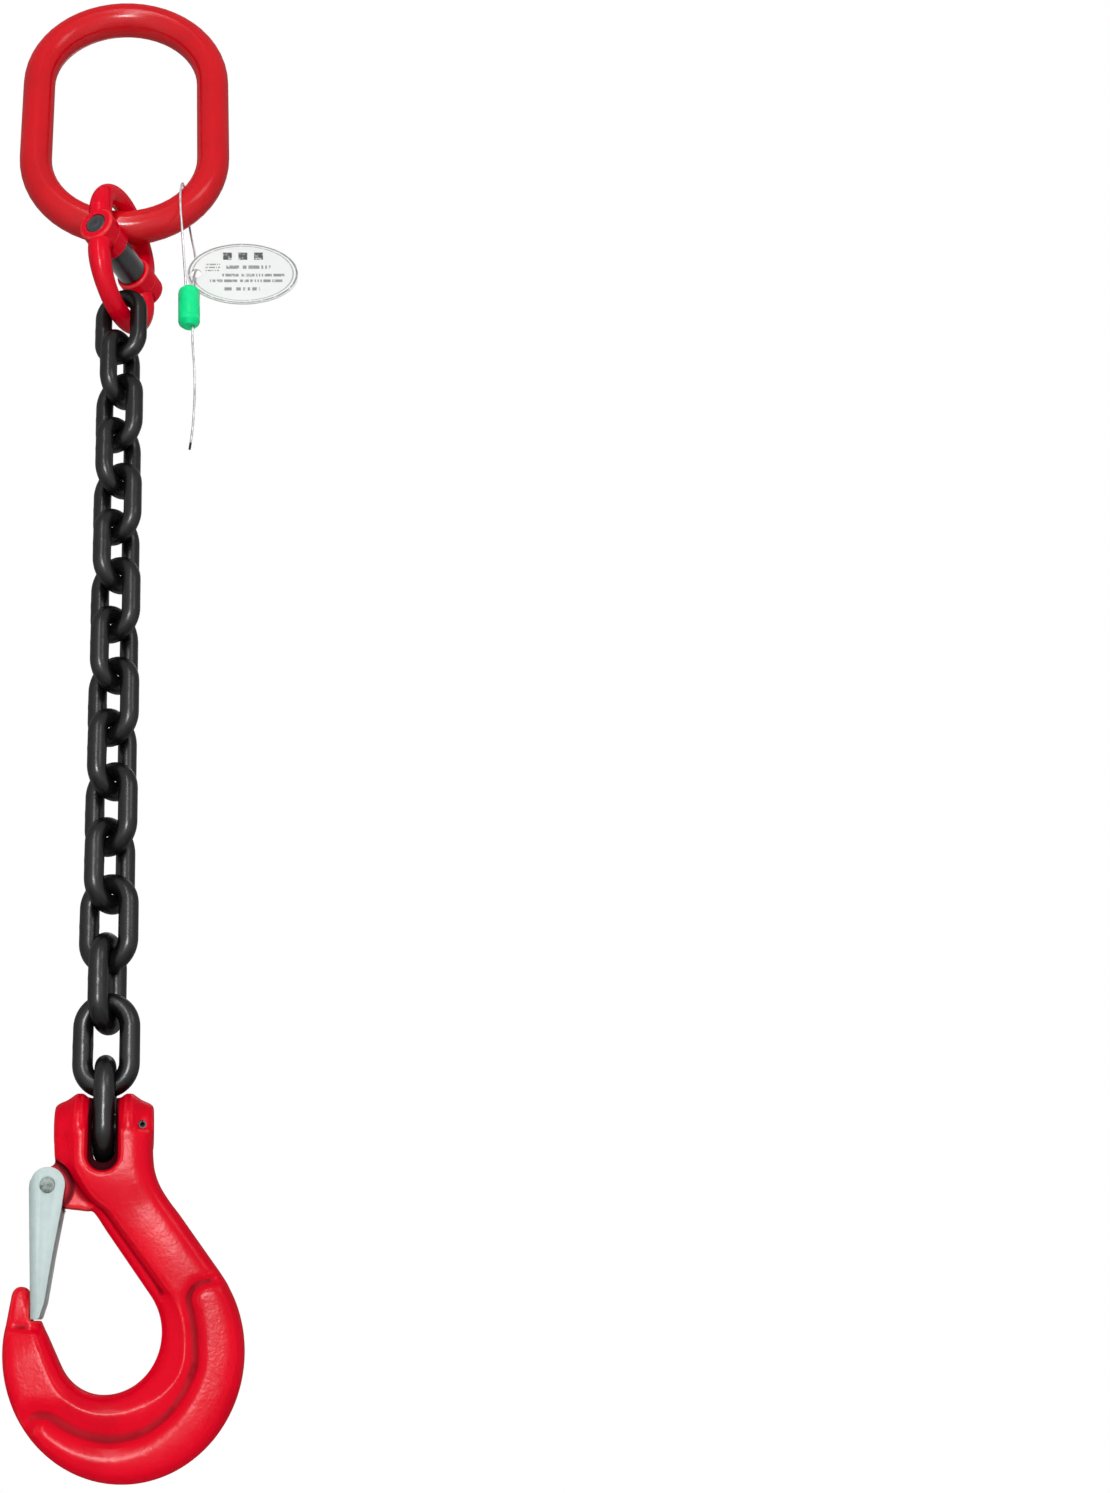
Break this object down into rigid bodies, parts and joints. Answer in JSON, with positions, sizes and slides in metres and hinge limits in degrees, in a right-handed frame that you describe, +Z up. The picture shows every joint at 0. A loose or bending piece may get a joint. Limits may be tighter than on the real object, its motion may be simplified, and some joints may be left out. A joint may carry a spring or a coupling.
{
  "type": "single-leg lifting chain",
  "caption": "Lifting chain sling: an oblong master link, a hinged coupling link, round-steel chain and a clevis hook with a sprung latch, with a tag on a sealed wire",
  "frame": {"origin": "inside top of the master link, where a crane hook bears", "axes": "+Z up, against the pull, with the chain hanging plumb; +X to the right across the hook's face, with the latch on the -X side; +Y away from the viewer"},
  "size_m": [0.137, 0.0568, 0.6893],
  "materials": {
    "red_paint": "gloss red paint on a forging",
    "chain_black": "satin black coat on alloy steel",
    "dark_steel": "dark oiled steel pin",
    "zinc": "bright zinc plate on pressed steel",
    "spring_steel": "drawn spring wire",
    "wire": "stranded steel seal wire",
    "seal_plastic": "bright green moulded plastic",
    "tag_coat": "white coated plate with a grey rim"
  },
  "bodies": {
    "master": {"master_link": "red_paint"},
    "coupling_upper": {"coupling_upper_half": "red_paint", "coupling_pin": "dark_steel", "coupling_bush": "dark_steel"},
    "coupling_lower": {"coupling_lower_half": "red_paint"},
    "link_01": {"chain_link_01": "chain_black"},
    "link_02": {"chain_link_02": "chain_black"},
    "link_03": {"chain_link_03": "chain_black"},
    "link_04": {"chain_link_04": "chain_black"},
    "link_05": {"chain_link_05": "chain_black"},
    "link_06": {"chain_link_06": "chain_black"},
    "link_07": {"chain_link_07": "chain_black"},
    "link_08": {"chain_link_08": "chain_black"},
    "link_09": {"chain_link_09": "chain_black"},
    "link_10": {"chain_link_10": "chain_black"},
    "link_11": {"chain_link_11": "chain_black"},
    "link_12": {"chain_link_12": "chain_black"},
    "link_13": {"chain_link_13": "chain_black"},
    "link_14": {"chain_link_14": "chain_black"},
    "link_15": {"chain_link_15": "chain_black"},
    "link_16": {"chain_link_16": "chain_black"},
    "hook": {"hook_body": "red_paint", "load_pin": "dark_steel", "retaining_pin": "dark_steel", "latch_pin": "zinc", "latch_spring_coil": "spring_steel"},
    "latch": {"latch": "zinc", "latch_spring_arm": "spring_steel"},
    "seal": {"seal_body": "seal_plastic", "seal_wire": "wire"},
    "tag": {"tag_plate": "tag_coat"}
  },
  "joints": [
    {"name": "coupling_on_master", "type": "hinge", "parent": "master", "child": "coupling_upper", "pos_m": [0, 0, -0.13605], "axis": [0.9063, -0.4226, 0], "range_deg": [-20, 20]},
    {"name": "coupling_pin_hinge", "type": "hinge", "parent": "coupling_upper", "child": "coupling_lower", "pos_m": [0, 0, -0.1468], "axis": [0.4226, 0.9063, 0], "range_deg": [-30, 60]},
    {"name": "link_01_hinge", "type": "hinge", "parent": "coupling_lower", "child": "link_01", "pos_m": [0, 0, -0.17955], "axis": [0.4226, 0.9063, 0], "range_deg": [-60, 75]},
    {"name": "link_02_hinge", "type": "hinge", "parent": "link_01", "child": "link_02", "pos_m": [0, 0, -0.20255], "axis": [0.8434, -0.5373, 0], "range_deg": [-75, 75]},
    {"name": "link_03_hinge", "type": "hinge", "parent": "link_02", "child": "link_03", "pos_m": [0, 0, -0.22655], "axis": [-0.6428, -0.766, 0], "range_deg": [-75, 75]},
    {"name": "link_04_hinge", "type": "hinge", "parent": "link_03", "child": "link_04", "pos_m": [0, 0, -0.25055], "axis": [-0.766, 0.6428, 0], "range_deg": [-75, 75]},
    {"name": "link_05_hinge", "type": "hinge", "parent": "link_04", "child": "link_05", "pos_m": [0, 0, -0.27455], "axis": [0.6428, 0.766, 0], "range_deg": [-75, 75]},
    {"name": "link_06_hinge", "type": "hinge", "parent": "link_05", "child": "link_06", "pos_m": [0, 0, -0.29855], "axis": [0.766, -0.6428, 0], "range_deg": [-75, 75]},
    {"name": "link_07_hinge", "type": "hinge", "parent": "link_06", "child": "link_07", "pos_m": [0, 0, -0.32255], "axis": [-0.6428, -0.766, 0], "range_deg": [-75, 75]},
    {"name": "link_08_hinge", "type": "hinge", "parent": "link_07", "child": "link_08", "pos_m": [0, 0, -0.34655], "axis": [-0.766, 0.6428, 0], "range_deg": [-75, 75]},
    {"name": "link_09_hinge", "type": "hinge", "parent": "link_08", "child": "link_09", "pos_m": [0, 0, -0.37055], "axis": [0.6428, 0.766, 0], "range_deg": [-75, 75]},
    {"name": "link_10_hinge", "type": "hinge", "parent": "link_09", "child": "link_10", "pos_m": [0, 0, -0.39455], "axis": [0.766, -0.6428, 0], "range_deg": [-75, 75]},
    {"name": "link_11_hinge", "type": "hinge", "parent": "link_10", "child": "link_11", "pos_m": [0, 0, -0.41855], "axis": [-0.6428, -0.766, 0], "range_deg": [-75, 75]},
    {"name": "link_12_hinge", "type": "hinge", "parent": "link_11", "child": "link_12", "pos_m": [0, 0, -0.44255], "axis": [-0.766, 0.6428, 0], "range_deg": [-75, 75]},
    {"name": "link_13_hinge", "type": "hinge", "parent": "link_12", "child": "link_13", "pos_m": [0, 0, -0.46655], "axis": [0.5, 0.866, 0], "range_deg": [-75, 75]},
    {"name": "link_14_hinge", "type": "hinge", "parent": "link_13", "child": "link_14", "pos_m": [0, 0, -0.49055], "axis": [0.9397, -0.342, 0], "range_deg": [-75, 75]},
    {"name": "link_15_hinge", "type": "hinge", "parent": "link_14", "child": "link_15", "pos_m": [0, 0, -0.51455], "axis": [-0.1736, -0.9848, 0], "range_deg": [-75, 75]},
    {"name": "link_16_hinge", "type": "hinge", "parent": "link_15", "child": "link_16", "pos_m": [0, 0, -0.53855], "axis": [-1, 0, 0], "range_deg": [-42, 42]},
    {"name": "hook_hinge", "type": "hinge", "parent": "link_16", "child": "hook", "pos_m": [0, 0, -0.5533], "axis": [1, 0, 0], "range_deg": [-75, 75]},
    {"name": "latch_hinge", "type": "hinge", "parent": "hook", "child": "latch", "pos_m": [-0.02, 0, -0.5748], "axis": [0, -1, 0], "range_deg": [0, 46], "stiffness_Nm_per_rad": 0.05, "springref_deg": -28.65},
    {"name": "seal_loop_hinge", "type": "hinge", "parent": "master", "child": "seal", "pos_m": [0.0295, 0, -0.11665], "axis": [-0.742, 0, -0.6705], "range_deg": [-45, 45]},
    {"name": "tag_hinge", "type": "hinge", "parent": "seal", "child": "tag", "pos_m": [0.0355, 0.0065, -0.14985], "axis": [0, 1, 0], "range_deg": [-20, 92]}
  ]
}
